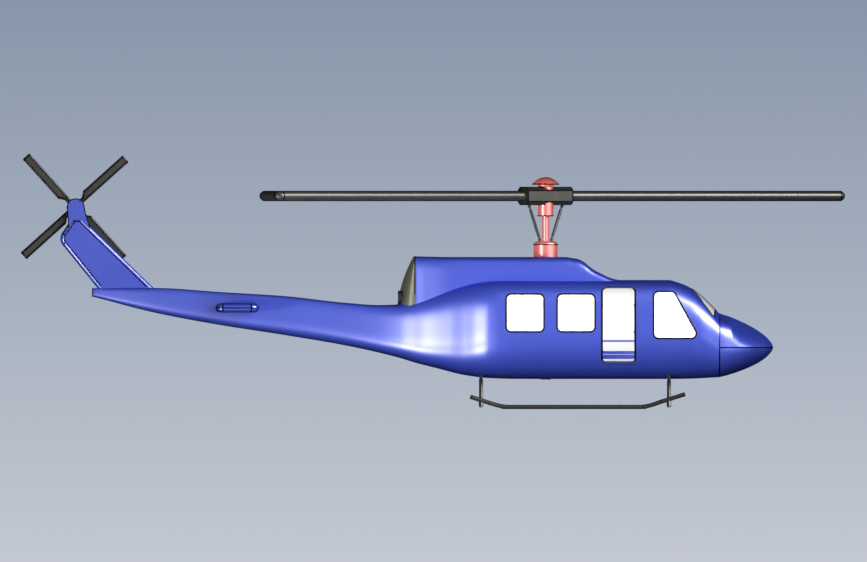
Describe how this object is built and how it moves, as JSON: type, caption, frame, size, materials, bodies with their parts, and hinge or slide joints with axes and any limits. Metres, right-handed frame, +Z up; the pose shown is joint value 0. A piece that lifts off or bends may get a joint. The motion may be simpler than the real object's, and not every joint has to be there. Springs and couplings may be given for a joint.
{
  "type": "medium twin-engined utility helicopter",
  "caption": "Utility helicopter on skids: hollow cabin with two hinged doors, tail boom with fin and stabilisers, two-blade main rotor and four-blade tail rotor that turn.",
  "frame": {"origin": "centre of the lower face of the cargo hook plate, under the belly and on the main mast's axis; the floor is 0.56 m below it", "axes": "+X to the nose, +Y to port, +Z up along the mast"},
  "size_m": [15.6853, 8.3709, 4.8564],
  "materials": {
    "blue_paint": "gloss",
    "blue_composite": "gloss",
    "white_paint": "gloss",
    "white_glazing": "gloss",
    "beige_metal": "satin",
    "dark_metal": "satin",
    "dark_composite": "satin",
    "engine_metal": "satin",
    "floor_covering": "matte",
    "seat_fabric": "matte",
    "black_panel": "matte",
    "red_paint": "gloss"
  },
  "bodies": {
    "airframe": {"cabin_roof": "blue_paint", "cabin_side_left": "blue_paint", "cabin_side_right": "blue_paint", "cabin_belly": "blue_paint", "cockpit_shell": "blue_paint", "cabin_floor": "floor_covering", "aft_fuselage": "blue_paint", "tail_boom": "blue_paint", "nose_upper": "blue_composite", "nose_lower": "blue_composite", "window_rear_left": "white_glazing", "window_middle_left": "white_glazing", "window_rear_right": "white_glazing", "window_middle_right": "white_glazing", "cockpit_window_left": "white_glazing", "cockpit_window_right": "white_glazing", "windscreen_left": "white_glazing", "windscreen_right": "white_glazing", "cowling": "blue_paint", "cowl_end_cap": "beige_metal", "exhaust_left": "dark_metal", "exhaust_right": "dark_metal", "engine_block": "engine_metal", "tail_fin": "blue_composite", "tail_gearbox_fairing": "blue_composite", "stabiliser_left": "blue_composite", "stabiliser_right": "blue_composite", "skid_left": "dark_metal", "skid_right": "dark_metal", "cross_tube_front": "dark_metal", "cross_tube_rear": "dark_metal", "cargo_hook_plate": "dark_metal", "seat_left": "seat_fabric", "seat_right": "seat_fabric", "bench_seat": "seat_fabric", "instrument_panel": "black_panel", "mast_housing": "red_paint"},
    "main_rotor": {"swashplate": "red_paint", "mast": "red_paint", "rotor_cap": "red_paint", "rotor_hub": "dark_metal", "pitch_link_forward": "dark_metal", "pitch_link_aft": "dark_metal", "rotor_blade_forward": "dark_composite", "rotor_blade_aft": "dark_composite"},
    "tail_rotor": {"tail_rotor": "dark_composite"},
    "door_left": {"door_left": "white_paint"},
    "door_right": {"door_right": "white_paint"}
  },
  "joints": [
    {"name": "main_rotor_spin", "type": "hinge", "parent": "airframe", "child": "main_rotor", "pos_m": [0, 0, 2.6], "axis": [0, 0, 1], "continuous": true},
    {"name": "tail_rotor_spin", "type": "hinge", "parent": "airframe", "child": "tail_rotor", "pos_m": [-8.949, 0.33, 3.274], "axis": [0, 1, 0], "continuous": true},
    {"name": "door_left_hinge", "type": "hinge", "parent": "airframe", "child": "door_left", "pos_m": [1.7, 1.29, 1.1], "axis": [0, 0, -1], "range_deg": [0, 85]},
    {"name": "door_right_hinge", "type": "hinge", "parent": "airframe", "child": "door_right", "pos_m": [1.7, -1.29, 1.1], "axis": [0, 0, 1], "range_deg": [0, 85]}
  ]
}
